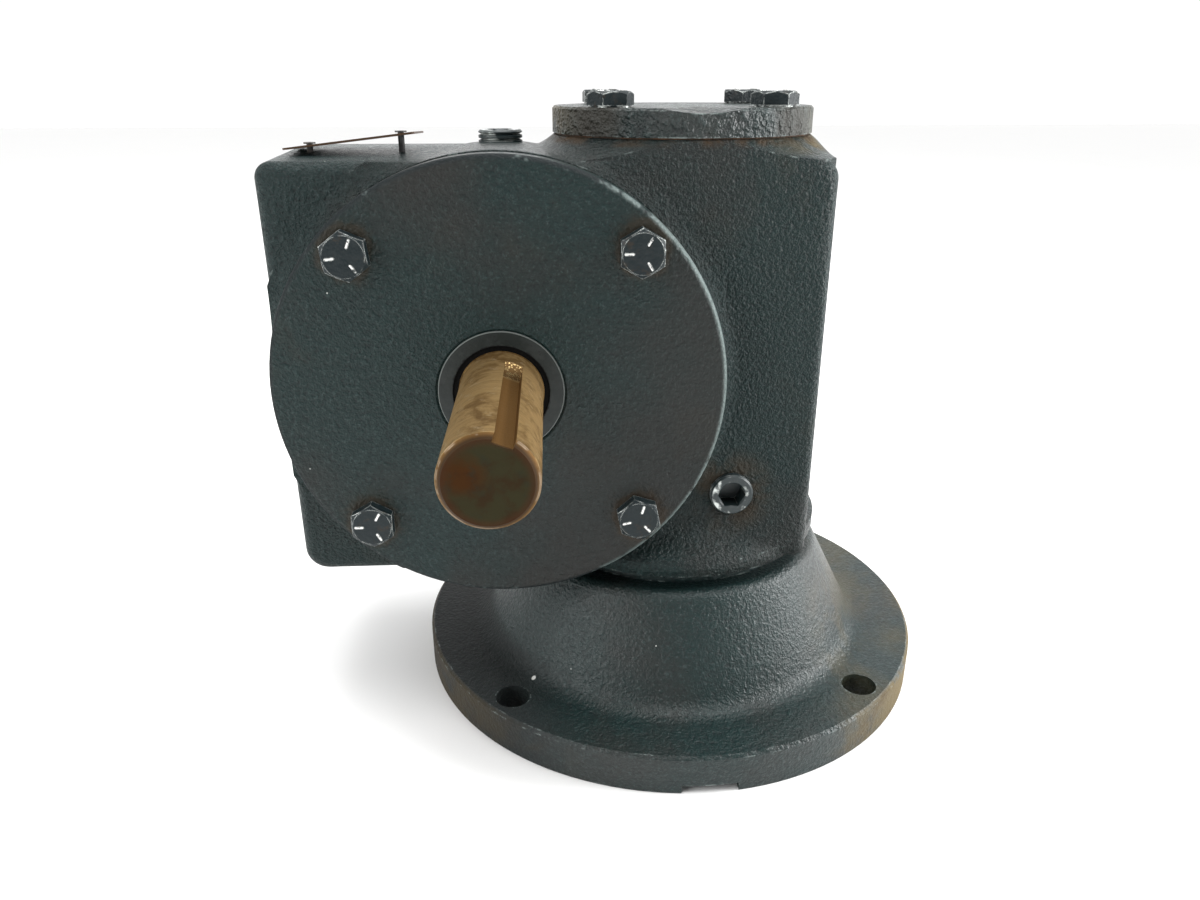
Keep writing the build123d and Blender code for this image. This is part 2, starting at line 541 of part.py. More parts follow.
with BuildPart() as output_shaft:
    turn(OUTPUT_SECTION, OUTPUT_AXIS, [
        (0, -35.9), (11.9, -35.9), (MEDIUM_BEARING[0] - FIT, -35.3), (MEDIUM_BEARING[0] - FIT, -13.2),
        (WHEEL_SEAT_RADIUS, -13.2), (WHEEL_SEAT_RADIUS, 13.1), (17, 13.1), (17, 17.5), (15.5, 19.5),
        (MEDIUM_BEARING[0] - FIT, 19.5), (MEDIUM_BEARING[0] - FIT, 35.5), (SEAL_JOURNAL_RADIUS, 36.8),
        (SEAL_JOURNAL_RADIUS, JOURNAL_END), (OUTPUT_SHAFT_RADIUS, JOURNAL_END),
        (OUTPUT_SHAFT_RADIUS, OUTPUT_SHAFT_TIP - OUTPUT_SHAFT_CHAMFER),
        (OUTPUT_SHAFT_RADIUS - OUTPUT_SHAFT_CHAMFER, OUTPUT_SHAFT_TIP), (0, OUTPUT_SHAFT_TIP),
    ])
    # Seat of the wheel key
    with BuildSketch(OUTPUT_FRONT.offset(-key_length / 2 - 0.1)):
        with Locations((0, key_floor)):
            Rectangle(key_width + 2 * FIT, key_height, align=(Align.CENTER, Align.MIN))
    extrude(amount=key_length + 0.2, mode=Mode.SUBTRACT)
    # Groove of the rear retaining ring
    tube(OUTPUT_SECTION, OUTPUT_AXIS, 11.7, 14, -34.75, -34.55, Mode.SUBTRACT)
    # Open keyway in the free end, ended by the curve of a disc cutter
    key_turn = radians(OUTPUT_KEY_TURN)
    slot_top = Plane(
        origin=OUTPUT_FRONT.origin, x_dir=(cos(key_turn), 0, -sin(key_turn)),
        z_dir=(sin(key_turn), 0, cos(key_turn)),
    )
    slot_floor = OUTPUT_SHAFT_RADIUS - KEYWAY_DEPTH
    with BuildSketch(slot_top.offset(slot_floor)):
        with Locations((0, -(KEYWAY_END + OUTPUT_SHAFT_TIP + 2) / 2)):
            Rectangle(KEYWAY_WIDTH, OUTPUT_SHAFT_TIP + 2 - KEYWAY_END)
    extrude(amount=KEYWAY_DEPTH + 1, mode=Mode.SUBTRACT)
    cutter = Plane(
        origin=slot_top.offset(slot_floor + KEYWAY_CUTTER_RADIUS).origin + Vector(0, -KEYWAY_END, 0),
        x_dir=(0, 1, 0), z_dir=slot_top.x_dir,
    )
    with BuildSketch(cutter):
        Circle(KEYWAY_CUTTER_RADIUS)
    extrude(amount=KEYWAY_WIDTH / 2, both=True, mode=Mode.SUBTRACT)
save(output_shaft, "output_shaft")

with BuildPart() as output_spacer:
    tube(OUTPUT_SECTION, OUTPUT_AXIS, MEDIUM_BEARING[0] + FIT, 16, -19.5, -13.25)
save(output_spacer, "output_spacer")

# ---------------------------------------------------------------- worm shaft

# The thread faces the wheel at the height of the wheel axis
THREAD_BOTTOM = OUTPUT_Z - WORM_LEAD * WORM_TURNS / 2
with BuildPart() as worm_shaft:
    turn(WORM_SECTION, Axis.Z, [
        (0, QUILL_BOTTOM), (QUILL_RADIUS - 0.6, QUILL_BOTTOM), (QUILL_RADIUS, QUILL_BOTTOM + 0.6),
        (QUILL_RADIUS - FIT, 64.3), (15, 64.3), (15, 68), (13, 74), (WORM_ROOT, 83), (WORM_ROOT, 130),
        (12, 138), (13.5, 143), (13.5, 149.2), (SMALL_BEARING[0] - FIT, 149.2), (SMALL_BEARING[0] - FIT, 165.6),
        (9.4, 166.2), (0, 166.2),
    ])
    with BuildLine():
        Helix(pitch=WORM_LEAD, height=WORM_LEAD * WORM_TURNS, radius=WORM_RADIUS, center=(0, 0, THREAD_BOTTOM))
    with BuildSketch(Plane.XZ):
        with BuildLine():
            slope = tan(PRESSURE_ANGLE)
            root_half = WORM_LEAD / 4 + (WORM_RADIUS - WORM_ROOT + 0.3) * slope
            tip_half = WORM_LEAD / 4 - MODULE * slope
            Polyline(
                (WORM_ROOT - 0.3, THREAD_BOTTOM - root_half), (WORM_TIP, THREAD_BOTTOM - tip_half),
                (WORM_TIP, THREAD_BOTTOM + tip_half), (WORM_ROOT - 0.3, THREAD_BOTTOM + root_half), close=True,
            )
        make_face()
    sweep(is_frenet=True)
    # Bore and keyway for the motor shaft
    tube(WORM_SECTION, Axis.Z, 0, QUILL_BORE_RADIUS, 0, QUILL_BORE_TOP, Mode.SUBTRACT)
    with BuildSketch(Plane.XY):
        Rectangle(KEYWAY_WIDTH, QUILL_BORE_RADIUS + KEYWAY_DEPTH, align=(Align.CENTER, Align.MIN))
    extrude(amount=QUILL_BORE_TOP - 4, mode=Mode.SUBTRACT)
    tube(WORM_SECTION, Axis.Z, 9.2, 12, 163.35, 163.55, Mode.SUBTRACT)
save(worm_shaft, "worm_shaft")

# ---------------------------------------------------------------- bearings

def bearing(name, middle, sizes):
    """Write the outer ring, inner ring, balls and cage of one ball bearing.

    The middle is the plane square to the shaft at the bearing's centre."""
    bore, outer, width, ball, count = sizes
    pitch = (bore + outer) / 2
    land = 0.62 * ball
    with BuildPart(middle) as outer_ring:
        Cylinder(outer, width)
        Cylinder(pitch + land, width, mode=Mode.SUBTRACT)
        Torus(pitch, ball + RUNNING_FIT, mode=Mode.SUBTRACT)
    save(outer_ring, f"{name}_outer_ring")
    with BuildPart(middle) as inner_ring:
        Cylinder(pitch - land, width)
        Cylinder(bore, width, mode=Mode.SUBTRACT)
        Torus(pitch, ball + RUNNING_FIT, mode=Mode.SUBTRACT)
    save(inner_ring, f"{name}_inner_ring")
    with BuildPart(middle) as balls:
        with PolarLocations(pitch, count):
            Sphere(ball)
    save(balls, f"{name}_balls")
    with BuildPart(middle) as cage:
        Cylinder(pitch + 1, 2 * ball + 2)
        Cylinder(pitch - 1, 2 * ball + 2, mode=Mode.SUBTRACT)
        with PolarLocations(pitch, count):
            Cylinder(ball + 0.1, 6, rotation=(0, 90, 0), mode=Mode.SUBTRACT)
    save(cage, f"{name}_cage")


bearing("front_bearing", OUTPUT_FRONT.offset(OUTPUT_BEARING_CENTRE), MEDIUM_BEARING)
bearing("rear_bearing", OUTPUT_FRONT.offset(-OUTPUT_BEARING_CENTRE), MEDIUM_BEARING)
bearing("lower_worm_bearing", Plane.XY.offset(LOWER_BEARING_CENTRE), MEDIUM_BEARING)
bearing("upper_worm_bearing", Plane.XY.offset(UPPER_BEARING_CENTRE), SMALL_BEARING)


def retaining_ring(name, middle, inner, outer, gap_turn):
    """A flat C-shaped ring, 1.2 thick, open by 6 mm."""
    with BuildPart(middle) as ring:
        Cylinder(outer, 1.2)
        Cylinder(inner, 1.2, mode=Mode.SUBTRACT)
        Box(
            6, outer + 1, 2, rotation=(0, 0, gap_turn), align=(Align.CENTER, Align.MIN, Align.CENTER),
            mode=Mode.SUBTRACT,
        )
    save(ring, name)


retaining_ring("output_shaft_ring", OUTPUT_FRONT.offset(-35.2), MEDIUM_BEARING[0], 15.5, 30)
retaining_ring("rear_bearing_ring", OUTPUT_FRONT.offset(-35.2), 22.5, MEDIUM_BEARING[1], 200)
retaining_ring("worm_shaft_ring", Plane.XY.offset(164), SMALL_BEARING[0], 13, 100)

# ---------------------------------------------------------------- seals and rear cap

with BuildPart() as output_seal_case:
    turn(OUTPUT_SECTION, OUTPUT_AXIS, [
        (SEAL_RADIUS, 40.6), (SEAL_RADIUS, COVER_FACE - 0.5), (SEAL_RADIUS - 0.3, COVER_FACE - 0.1),
        (12.9, COVER_FACE - 0.1), (12.9, COVER_FACE - 1.3), (SEAL_RADIUS - 1.2, COVER_FACE - 1.3),
        (SEAL_RADIUS - 1.2, 40.6),
    ])
save(output_seal_case, "output_seal_case")

with BuildPart() as output_seal_lip:
    lip = SEAL_JOURNAL_RADIUS + RUNNING_FIT
    turn(OUTPUT_SECTION, OUTPUT_AXIS, [
        (12.85, COVER_FACE - 0.5), (12.85, COVER_FACE - 1.4), (SEAL_RADIUS - 1.25, COVER_FACE - 1.4),
        (SEAL_RADIUS - 1.25, 41.5), (14.5, 41.5), (13.0, 44.5), (12.2, 44.0), (lip, 45.2), (12.0, 46.0),
        (lip, 47.0), (lip, COVER_FACE - 0.5),
    ])
save(output_seal_lip, "output_seal_lip")

with BuildPart() as input_seal_case:
    tube(WORM_SECTION, Axis.Z, 17.6, 20, 38.6, 46.1)
    tube(WORM_SECTION, Axis.Z, 14.6, 18, 38.6, 39.6)
save(input_seal_case, "input_seal_case")

with BuildPart() as input_seal_lip:
    lip = QUILL_RADIUS + RUNNING_FIT
    turn(WORM_SECTION, Axis.Z, [
        (14.55, 38.8), (14.55, 39.7), (17.55, 39.7), (17.55, 45.5), (16.2, 45.5), (14.8, 43), (13.9, 43.5),
        (lip, 42.2), (13.4, 41.4), (lip, 40.2), (lip + 0.4, 38.8),
    ])
save(input_seal_lip, "input_seal_lip")

with BuildPart() as rear_bore_cap:
    turn(OUTPUT_SECTION, OUTPUT_AXIS, [
        (0, -36.1), (24.4, -36.1), (24.4, -36.0), (MEDIUM_BEARING[1], -36.0), (MEDIUM_BEARING[1], -37.6),
        (23.5, -37.6), (22.5, -37.2), (0, -37.4),
    ])
save(rear_bore_cap, "rear_bore_cap")
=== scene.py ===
import json
import math

import bpy
from mathutils import Matrix, Vector


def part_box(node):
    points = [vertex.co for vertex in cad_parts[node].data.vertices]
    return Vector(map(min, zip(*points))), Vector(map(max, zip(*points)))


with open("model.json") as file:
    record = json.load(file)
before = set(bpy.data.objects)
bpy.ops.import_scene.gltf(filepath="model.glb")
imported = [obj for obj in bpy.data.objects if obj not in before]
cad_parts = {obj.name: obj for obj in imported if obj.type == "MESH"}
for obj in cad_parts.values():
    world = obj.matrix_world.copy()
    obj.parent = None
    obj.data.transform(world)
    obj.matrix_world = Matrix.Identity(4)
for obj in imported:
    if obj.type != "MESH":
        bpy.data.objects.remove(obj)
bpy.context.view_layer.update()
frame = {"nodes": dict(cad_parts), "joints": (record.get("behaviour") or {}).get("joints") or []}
nodes = frame["nodes"]
scene = bpy.context.scene

# ---------------------------------------------------------------- places read from the frame

joints = {joint["name"]: joint for joint in frame["joints"]}
OUTPUT_AXIS = Vector(joints["output_spin"]["pos_m"])
cover_low, cover_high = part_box("output_cover")
housing_low, housing_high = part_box("housing")
top_low, top_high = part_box("top_cover")
flange_low, flange_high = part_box("motor_flange")
shaft_low, shaft_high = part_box("output_shaft")
drain_low, drain_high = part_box("drain_plug")
fill_low, fill_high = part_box("fill_plug")
COVER_RADIUS = (cover_high.x - cover_low.x) / 2
TOP_RADIUS = (top_high.x - top_low.x) / 2
FLANGE_RADIUS = (flange_high.x - flange_low.x) / 2
HEAD_ACROSS = 0.0111


def square_of_bolts(node, across, up):
    """Centres of four bolts on a square, from their node's box."""
    low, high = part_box(node)
    middle = (low + high) / 2
    reach = (high[across] - low[across] - HEAD_ACROSS) / 2
    centres = []
    for a in (-1, 1):
        for b in (-1, 1):
            centre = middle.copy()
            centre[across] += a * reach
            centre[up] += b * reach
            centres.append(centre)
    return centres


COVER_BOLTS = square_of_bolts("output_cover_bolts", 0, 2)
TOP_BOLTS = square_of_bolts("top_cover_bolts", 0, 1)

# ---------------------------------------------------------------- material graphs


class Graph:
    """A material under construction: colour, roughness and metal are built up in layers."""

    def __init__(self, name, color, rough, metal=0.0):
        self.material = bpy.data.materials.new(name)
        self.material.use_nodes = True
        self.tree = self.material.node_tree
        self.tree.nodes.clear()
        self.coords = self.add("ShaderNodeTexCoord").outputs["Object"]
        self.color = color
        self.rough = rough
        self.metal = metal
        self.heights = []
        self.normal = None

    def add(self, kind, inputs=None, **settings):
        node = self.tree.nodes.new(kind)
        for key, setting in settings.items():
            setattr(node, key, setting)
        for key, given in (inputs or {}).items():
            self.plug(node.inputs[key], given)
        return node

    def plug(self, socket, given):
        if isinstance(given, bpy.types.NodeSocket):
            self.tree.links.new(given, socket)
        elif isinstance(given, (tuple, list, Vector)) and socket.type == "RGBA" and len(given) == 3:
            socket.default_value = (*given, 1.0)
        else:
            socket.default_value = given

    def math(self, operation, a, b=0.0, c=0.0):
        node = self.add("ShaderNodeMath", {0: a, 1: b, 2: c}, operation=operation)
        return node.outputs[0]

    def times(self, a, b):
        return self.math("MULTIPLY", a, b)

    def vectors(self, operation, a, b=(0, 0, 0)):
        return self.add("ShaderNodeVectorMath", {0: a, 1: b}, operation=operation)

    def noise(self, scale, detail=3.0, roughness=0.55, distortion=0.0, vector=None, seed=0.0):
        """Noise in the row frame, scale in waves per metre."""
        place = self.coords if vector is None else vector
        node = self.add(
            "ShaderNodeTexNoise",
            {"Vector": place, "W": seed, "Scale": scale, "Detail": detail, "Roughness": roughness,
             "Distortion": distortion},
            noise_dimensions="4D",
        )
        return node.outputs[0]

    def cells(self, scale, output="Distance"):
        return self.add("ShaderNodeTexVoronoi", {"Vector": self.coords, "Scale": scale}).outputs[output]

    def ramp(self, given, low, high):
        """0 below low, 1 above high (or the other way round), smooth between."""
        node = self.add(
            "ShaderNodeMapRange",
            {"Value": given, "From Min": low, "From Max": high, "To Min": 0.0, "To Max": 1.0},
            interpolation_type="SMOOTHSTEP", clamp=True,
        )
        return node.outputs[0]

    def mix(self, factor, a, b):
        node = self.add("ShaderNodeMix", data_type="RGBA", clamp_factor=True)
        self.plug(node.inputs[0], factor)
        self.plug(node.inputs[6], a)
        self.plug(node.inputs[7], b)
        return node.outputs[2]

    def blend(self, factor, a, b):
        node = self.add("ShaderNodeMix", data_type="FLOAT", clamp_factor=True)
        self.plug(node.inputs[0], factor)
        self.plug(node.inputs[2], a)
        self.plug(node.inputs[3], b)
        return node.outputs[0]

    def axes(self, vector=None):
        place = self.coords if vector is None else vector
        return self.add("ShaderNodeSeparateXYZ", {0: place}).outputs

    def stretched(self, x, y, z):
        """Coordinates scaled unevenly, for streaks."""
        return self.add("ShaderNodeMapping", {"Vector": self.coords, "Scale": (x, y, z)}).outputs[0]

    def distance(self, point, keep=(1, 1, 1)):
        """Distance from a point, or from a line along the axes that keep leaves out."""
        offset = self.vectors("SUBTRACT", self.coords, point).outputs[0]
        flat = self.vectors("MULTIPLY", offset, keep).outputs[0]
        return self.vectors("LENGTH", flat).outputs["Value"]

    def nearest(self, points, keep):
        result = self.distance(points[0], keep)
        for point in points[1:]:
            result = self.math("MINIMUM", result, self.distance(point, keep))
        return result

    def upward(self):
        """How far a surface faces up, from -1 to 1."""
        normal = self.add("ShaderNodeNewGeometry").outputs["True Normal"]
        return self.axes(normal)[2]

    def edges(self, radius):
        """1 on convex and concave edges sharper than the radius, 0 on open faces."""
        rounded = self.add("ShaderNodeBevel", {"Radius": radius}, samples=6).outputs[0]
        true = self.add("ShaderNodeNewGeometry").outputs["Normal"]
        alike = self.vectors("DOT_PRODUCT", rounded, true).outputs["Value"]
        return self.ramp(alike, 0.995, 0.90)

    def layer(self, mask, color=None, rough=None, metal=None):
        """Lay a colour, roughness or metal over what is there, where the mask is 1."""
        if color is not None:
            self.color = self.mix(mask, self.color, color)
        if rough is not None:
            self.rough = self.blend(mask, self.rough, rough)
        if metal is not None:
            self.metal = self.blend(mask, self.metal, metal)

    def relief(self, height, depth):
        """Add a height map, 0 to 1, over a depth in metres."""
        self.heights.append((height, depth))

    def soften(self, radius, mask):
        """Shade creases as if rounded to a radius, where the mask is 1."""
        rounded = self.add("ShaderNodeBevel", {"Radius": radius}, samples=8).outputs[0]
        true = self.add("ShaderNodeNewGeometry").outputs["Normal"]
        node = self.add("ShaderNodeMix", data_type="VECTOR")
        self.plug(node.inputs[0], mask)
        self.plug(node.inputs[4], true)
        self.plug(node.inputs[5], rounded)
        self.normal = node.outputs[1]

    def finish(self, **uniform):
        shader = self.add("ShaderNodeBsdfPrincipled")
        self.plug(shader.inputs["Base Color"], self.color)
        self.plug(shader.inputs["Roughness"], self.rough)
        self.plug(shader.inputs["Metallic"], self.metal)
        for key, given in uniform.items():
            self.plug(shader.inputs[key.replace("_", " ")], given)
        normal = self.normal
        for height, depth in self.heights:
            bump = self.add("ShaderNodeBump", {"Strength": 1.0, "Distance": depth, "Height": height})
            if normal is not None:
                self.plug(bump.inputs["Normal"], normal)
            normal = bump.outputs[0]
        if normal is not None:
            self.plug(shader.inputs["Normal"], normal)
        output = self.add("ShaderNodeOutputMaterial")
        self.tree.links.new(shader.outputs[0], output.inputs["Surface"])
        return self.material


PAINT_COOL = (0.0048, 0.0160, 0.0155)
PAINT_WARM = (0.0140, 0.0150, 0.0135)
# Skin tones: a painted highlight for the raised grains and painted shade for the pits
PAINT_GRAIN_HIGHLIGHT = (0.040, 0.066, 0.065)
PAINT_PIT_SHADE = (0.001, 0.003, 0.004)
PRIMER = (0.20, 0.24, 0.23)
GRIME = (0.034, 0.026, 0.016)
OCHRE = (0.115, 0.076, 0.016)
RUST = (0.045, 0.026, 0.011)
BRIGHT = (0.50, 0.53, 0.51)


def cast_paint(name, pebble=1.0, size=1.0, seed=0.0):
    """Old dark paint on a rough casting: pebbled, with a painted highlight on the raised grains,
    painted shade in the pits, faint clouds, brown haze and white flecks.
    """
    graph = Graph(name, PAINT_COOL, 0.33)
    cloud = graph.noise(17, 4, 0.6, seed=seed)
    graph.layer(graph.times(graph.ramp(cloud, 0.48, 0.66), 0.7), PAINT_WARM)
    grain = graph.noise(1900 / size, 2, 0.6, seed=seed)
    pebbles = graph.noise(880 / size, 2, 0.5, 0.3, seed=seed + 1)
    skin = graph.math("MULTIPLY_ADD", grain, 0.5, graph.times(pebbles, 0.5))
    # Painted highlight on the raised grains and painted shade in the pits, following the same heights
    # as the bumps
    graph.layer(graph.times(graph.ramp(skin, 0.52, 0.66), 0.38), PAINT_GRAIN_HIGHLIGHT)
    graph.layer(graph.times(graph.ramp(skin, 0.48, 0.38), 0.55), PAINT_PIT_SHADE)
    haze = graph.ramp(graph.noise(19, 4, 0.65, 0.4, seed=seed + 3), 0.56, 0.78)
    graph.layer(graph.times(haze, 0.5), GRIME, 0.55)
    graph.relief(pebbles, 0.00100 * pebble * size)
    graph.relief(grain, 0.00045 * pebble * size)
    graph.rough = graph.blend(graph.ramp(skin, 0.42, 0.6), 0.46, graph.rough)
    speck = graph.cells(200, output="Distance")
    chosen = graph.axes(graph.cells(200, output="Color"))[0]
    fleck = graph.times(graph.ramp(speck, 0.055, 0.03), graph.ramp(chosen, 0.975, 0.98))
    graph.layer(fleck, (0.40, 0.42, 0.40), 0.6)
    return graph


def worn_edges(graph, radius, amount):
    """Paint rubbed through to grey metal along edges, in patches."""
    patches = graph.ramp(graph.noise(260, 4, 0.7, seed=9.0), 0.62 - 0.25 * amount, 0.72 - 0.2 * amount)
    mask = graph.times(graph.edges(radius), patches)
    graph.layer(mask, PRIMER, 0.4, 0.3)


def steel(name, color=(0.55, 0.55, 0.54), rough=0.3, stain=0.3, seed=0.0):
    """Turned or ground steel with fine tool marks and a light oil or rust stain."""
    graph = Graph(name, color, rough, 1.0)
    lines = graph.noise(1.0, 2, 0.5, vector=graph.stretched(400, 3500, 400), seed=seed)
    graph.layer(graph.ramp(lines, 0.4, 0.7), tuple(0.72 * c for c in color), rough + 0.12)
    marks = graph.noise(140, 4, 0.65, seed=seed + 2)
    graph.layer(graph.times(graph.ramp(marks, 0.5, 0.75), stain), (0.16, 0.10, 0.05), 0.6, 0.6)
    graph.relief(lines, 0.00002)
    return graph


def dress(name, material):
    """Give a CAD node one material in all its slots."""
    mesh = nodes[name].data
    for index in range(max(1, len(mesh.materials))):
        if index < len(mesh.materials):
            mesh.materials[index] = material
        else:
            mesh.materials.append(material)


# ---------------------------------------------------------------- painted castings

ROUND_OUTPUT = (1, 0, 1)
ROUND_WORM = (1, 1, 0)

PAD_RUST_HEIGHT = 0.0062
EDGE_WEAR = 0.0008
CREASE_RADIUS = 0.008


def housing_paint():
    """Rust under the top cover, grime round the drain plug, soft shading where the casting blends."""
    paint = cast_paint("housing_paint", seed=0.0)
    across, _, height = paint.axes()[0:3]
    from_worm = paint.distance((0, 0, 0), ROUND_WORM)
    off_joint = paint.math("ABSOLUTE", paint.math("SUBTRACT", height, top_low.z + PAD_RUST_HEIGHT))
    off_pad = paint.math("ABSOLUTE", paint.math("ADD", from_worm, -TOP_RADIUS))
    near_pad = paint.math("MAXIMUM", off_pad, off_joint)
    patchy = paint.noise(60, 4, 0.7, 0.5, seed=2.0)
    to_right = paint.ramp(across, 0.015, 0.045)
    under_cover = paint.times(paint.ramp(near_pad, 0.009, 0.001), paint.ramp(patchy, 0.40, 0.56))
    paint.layer(paint.times(under_cover, to_right), OCHRE, 0.7)
    pad_line = paint.ramp(near_pad, 0.0030, 0.0005)
    paint.layer(paint.times(pad_line, paint.ramp(patchy, 0.42, 0.62)), RUST, 0.75)
    near_drain = paint.distance((drain_low + drain_high) / 2, ROUND_OUTPUT)
    drain_halo = paint.ramp(near_drain, 0.016, 0.006)
    paint.layer(paint.times(drain_halo, paint.ramp(patchy, 0.38, 0.6)), GRIME, 0.7)
    worn_edges(paint, EDGE_WEAR, 0.35)
    at_top = paint.ramp(height, top_low.z - 0.032, top_low.z - 0.024)
    low_down = paint.ramp(height, housing_low.z + 0.026, housing_low.z + 0.020)
    at_boss = paint.times(low_down, paint.ramp(from_worm, 0.0560, 0.0545))
    paint.soften(CREASE_RADIUS, paint.math("MAXIMUM", at_top, at_boss))
    return paint.finish(Specular_IOR_Level=0.25)


def cover_paint():
    """Warm bloom on the disc, stains round the bolts, painted shade on the left of the rim's front
    edge, and paint rubbed off the rim on the right with a painted highlight there.
    """
    paint = cast_paint("cover_paint", pebble=0.55, seed=4.0)
    across, along, _ = paint.axes()[0:3]
    bloom = paint.ramp(paint.noise(10, 3, 0.6, seed=23.0), 0.44, 0.58)
    paint.layer(paint.times(bloom, 0.55), (0.0175, 0.0140, 0.0125), 0.45)
    near_bolt = paint.nearest(COVER_BOLTS, ROUND_OUTPUT)
    spots = paint.noise(130, 4, 0.7, 0.5, seed=6.0)
    wide = paint.math("SUBTRACT", near_bolt, paint.times(spots, 0.014))
    paint.layer(paint.times(paint.ramp(wide, 0.004, -0.002), 0.35), GRIME, 0.6)
    tight = paint.math("SUBTRACT", near_bolt, paint.times(spots, 0.006))
    paint.layer(paint.times(paint.ramp(tight, 0.0055, 0.0035), 0.3), RUST, 0.7)
    ring = paint.distance(OUTPUT_AXIS, ROUND_OUTPUT)
    rim = paint.ramp(ring, COVER_RADIUS - 0.0016, COVER_RADIUS - 0.0004)
    strip = paint.times(rim, paint.ramp(along, cover_low.y + 0.0030, cover_low.y + 0.0020))
    right_side = paint.ramp(across, OUTPUT_AXIS.x + 0.020, OUTPUT_AXIS.x + 0.048)
    chips = paint.noise(90, 4, 0.7, 0.3, seed=11.0)
    rubbed = paint.ramp(paint.math("MULTIPLY_ADD", right_side, 0.22, chips), 0.56, 0.66)
    # Rim's front edge: painted shade on the left part
    shaded = paint.math("SUBTRACT", 1.0, right_side)
    paint.layer(paint.times(strip, shaded), (0.004, 0.008, 0.009), 0.75)
    # Right part of the rim's front edge: rubbed-off paint and chips, also a painted highlight
    paint.layer(paint.times(strip, rubbed), (0.11, 0.14, 0.135), 0.45, 0.2)
    return paint.finish(Specular_IOR_Level=0.27)


def top_paint():
    """A coarser skin, rusty at the left and right of the rim and along its lower edge."""
    paint = cast_paint("top_cover_paint", pebble=1.0, size=1.9, seed=8.0)
    across, _, height = paint.axes()[0:3]
    rim = paint.ramp(paint.distance((0, 0, 0), ROUND_WORM), TOP_RADIUS - 0.002, TOP_RADIUS)
    patches = paint.noise(55, 4, 0.7, 0.8, seed=1.0)
    at_ends = paint.times(rim, paint.ramp(paint.math("ABSOLUTE", across), 0.026, 0.050))
    paint.layer(paint.times(at_ends, paint.ramp(patches, 0.36, 0.52)), OCHRE, 0.65)
    low_edge = paint.ramp(height, top_low.z + 0.0022, top_low.z + 0.0002)
    paint.layer(paint.times(low_edge, paint.times(rim, 0.6)), RUST, 0.75)
    near_bolt = paint.nearest(TOP_BOLTS, ROUND_WORM)
    paint.layer(paint.times(paint.ramp(near_bolt, 0.011, 0.006), 0.5), GRIME, 0.75)
    worn_edges(paint, EDGE_WEAR, 0.5)
    return paint.finish(Specular_IOR_Level=0.45)


def flange_paint():
    """Rust at the sides of the rim, a stain on the right, shade on the left and one white splash."""
    paint = cast_paint("flange_paint", pebble=0.45, seed=12.0)
    across, _, height = paint.axes()[0:3]
    from_worm = paint.distance((0, 0, 0), ROUND_WORM)
    rim = paint.ramp(from_worm, FLANGE_RADIUS - 0.0012, FLANGE_RADIUS - 0.0002)
    patches = paint.noise(30, 4, 0.7, 0.5, seed=7.0)
    at_sides = paint.ramp(paint.math("ABSOLUTE", across), 0.03, 0.075)
    chance = paint.math("MULTIPLY_ADD", at_sides, 0.14, patches)
    rusty = paint.times(paint.times(rim, at_sides), paint.ramp(chance, 0.48, 0.64))
    paint.layer(paint.times(rusty, 0.85), OCHRE, 0.8)
    deep = paint.noise(75, 4, 0.7, 0.5, seed=15.0)
    paint.layer(paint.times(rusty, paint.ramp(deep, 0.52, 0.66)), RUST, 0.8)
    on_right = paint.times(paint.ramp(across, 0.034, 0.050), paint.ramp(patches, 0.40, 0.60))
    paint.layer(paint.times(on_right, 0.22), OCHRE, 0.55)
    in_shade = paint.times(paint.ramp(across, -0.030, -0.055), paint.ramp(height, 0.020, 0.014))
    paint.layer(paint.times(in_shade, 0.75), (0.004, 0.005, 0.005), 0.75)
    splash = paint.distance((-0.0466, -0.0452, 0), ROUND_WORM)
    paint.layer(paint.ramp(splash, 0.0008, 0.0005), (0.55, 0.56, 0.54), 0.6)
    worn_edges(paint, EDGE_WEAR, 0.4)
    return paint.finish(Specular_IOR_Level=0.40)


dress("housing", housing_paint())
dress("output_cover", cover_paint())
dress("top_cover", top_paint())
dress("motor_flange", flange_paint())

# ---------------------------------------------------------------- bolts and plugs


def painted_bolt(name, head_top, axis):
    """Painted hex heads: bright along worn edges and on the raised grade marks."""
    graph = Graph(name, (0.004, 0.010, 0.012), 0.38)
    graph.layer(graph.ramp(graph.noise(500, 3, 0.6), 0.45, 0.7), (0.010, 0.016, 0.018), 0.55)
    graph.layer(graph.times(graph.ramp(graph.noise(300, 4, 0.7, seed=2.0), 0.55, 0.7), 0.4), RUST, 0.7)
    edge_patch = graph.ramp(graph.noise(420, 4, 0.7, seed=4.0), 0.42, 0.56)
    edges = graph.times(graph.edges(0.0005), edge_patch)
    graph.layer(edges, BRIGHT, 0.3, 0.9)
    along = graph.axes()[axis]
    if axis == 1:
        raised = graph.ramp(along, head_top - 0.00002, head_top - 0.00012)
    else:
        raised = graph.ramp(along, head_top + 0.00002, head_top + 0.00012)
    rubbed_mark = graph.ramp(graph.noise(1100, 3, 0.6, seed=7.0), 0.38, 0.48)
    graph.layer(graph.times(raised, rubbed_mark), (0.8, 0.8, 0.78), 0.35, 0.6)
    graph.relief(graph.noise(900, 2, 0.6), 0.00025)
    return graph.finish(Specular_IOR_Level=0.28)


bolt_low, bolt_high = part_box("output_cover_bolts")
top_bolt_low, top_bolt_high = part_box("top_cover_bolts")
MARK_HEIGHT = 0.0002
dress("output_cover_bolts", painted_bolt("cover_bolt_paint", bolt_low.y + MARK_HEIGHT, 1))
dress("top_cover_bolts", painted_bolt("top_bolt_paint", top_bolt_high.z - MARK_HEIGHT, 2))


PLUG_SOCKET_RADIUS = 0.0040
PLUG_FACE_RADIUS = 0.0061


